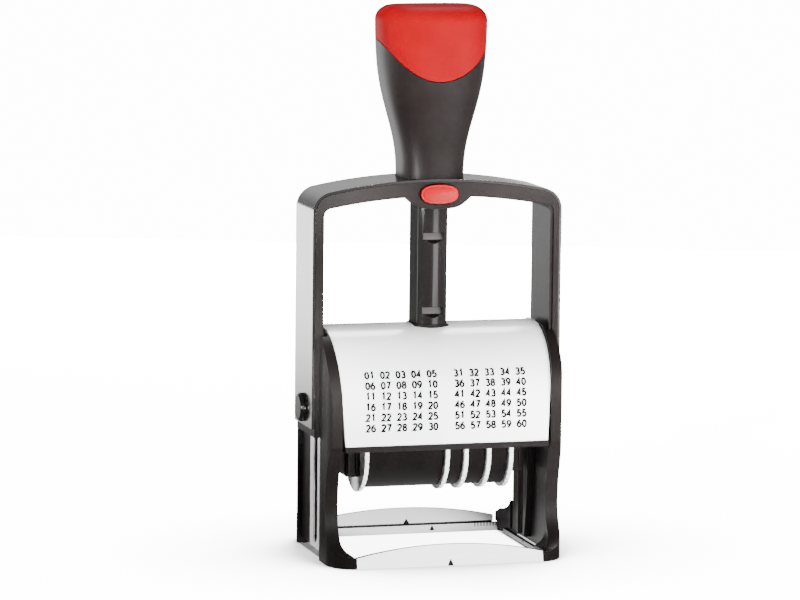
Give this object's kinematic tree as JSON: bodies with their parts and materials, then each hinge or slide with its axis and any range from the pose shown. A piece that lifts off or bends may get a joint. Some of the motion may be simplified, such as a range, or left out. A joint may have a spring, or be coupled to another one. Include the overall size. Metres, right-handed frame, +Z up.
{
  "type": "self-inking date stamp",
  "caption": "Hand stamp whose sprung bow and grip flip a band print unit from an ink pad down to the paper, with finger wheels for word and date.",
  "frame": {"origin": "on the rest plane under the middle of the foot, on the axis of the centre shaft", "axes": "+X to the right seen from the label side, +Y to the back, +Z up along the shaft"},
  "size_m": [0.0782, 0.0544, 0.1605],
  "materials": {
    "black_plastic": "satin moulded plastic",
    "red_plastic": "semi-gloss moulded plastic",
    "bright_metal": "bright plated",
    "steel": "plain steel",
    "white_plastic": "gloss white",
    "pale_plastic": "satin pale grey",
    "band_rubber": "matt rubber",
    "ink_felt": "felt soaked with black ink"
  },
  "bodies": {
    "foot": {"left_cheek": "black_plastic", "right_cheek": "black_plastic", "left_guide_strip": "steel", "right_guide_strip": "steel", "front_strip": "bright_metal", "back_strip": "bright_metal", "left_rail": "bright_metal", "right_rail": "bright_metal", "pad_housing": "black_plastic", "label_cover": "white_plastic", "shaft": "black_plastic", "return_spring": "steel"},
    "bow": {"bow_frame": "black_plastic", "bow_skin": "bright_metal", "grip_body": "black_plastic", "grip_cap": "red_plastic", "left_pivot_pin": "steel", "right_pivot_pin": "steel", "left_pivot_cap": "black_plastic", "right_pivot_cap": "black_plastic"},
    "lock": {"lock_button": "red_plastic", "latch_plate": "steel"},
    "print_unit": {"left_arm": "black_plastic", "right_arm": "black_plastic", "print_bridge": "black_plastic", "wheel_axle": "steel", "word_band": "band_rubber", "day_band": "band_rubber", "month_band": "band_rubber", "year_band": "band_rubber"},
    "word": {"word_wheel": "pale_plastic"},
    "day": {"day_wheel": "pale_plastic"},
    "month": {"month_wheel": "pale_plastic"},
    "year": {"year_wheel": "pale_plastic"},
    "pad": {"pad_tray": "black_plastic", "ink_pad": "ink_felt"}
  },
  "joints": [
    {"name": "bow_slide", "type": "slide", "parent": "foot", "child": "bow", "axis": [0, 0, -1], "range_m": [0, 0.0348], "stiffness_N_per_m": 300, "springref_m": -0.02, "deforming": ["return_spring"]},
    {"name": "print_flip", "type": "hinge", "parent": "bow", "child": "print_unit", "pos_m": [0, 0, 0.0435], "axis": [1, 0, 0], "range_deg": [0, 180]},
    {"name": "lock_press", "type": "slide", "parent": "bow", "child": "lock", "axis": [0, 1, 0], "range_m": [0, 0.002], "stiffness_N_per_m": 400, "springref_m": -0.001},
    {"name": "pad_slide", "type": "slide", "parent": "foot", "child": "pad", "axis": [0, 1, 0], "range_m": [0, 0.036]},
    {"name": "word_turn", "type": "hinge", "parent": "print_unit", "child": "word", "pos_m": [0, 0, 0.03], "axis": [1, 0, 0], "continuous": true},
    {"name": "day_turn", "type": "hinge", "parent": "print_unit", "child": "day", "pos_m": [0, 0, 0.03], "axis": [1, 0, 0], "continuous": true},
    {"name": "month_turn", "type": "hinge", "parent": "print_unit", "child": "month", "pos_m": [0, 0, 0.03], "axis": [1, 0, 0], "continuous": true},
    {"name": "year_turn", "type": "hinge", "parent": "print_unit", "child": "year", "pos_m": [0, 0, 0.03], "axis": [1, 0, 0], "continuous": true}
  ],
  "couplings": [
    {"joint": "print_flip", "follows": "bow_slide", "rad_per_m": 90.276}
  ]
}
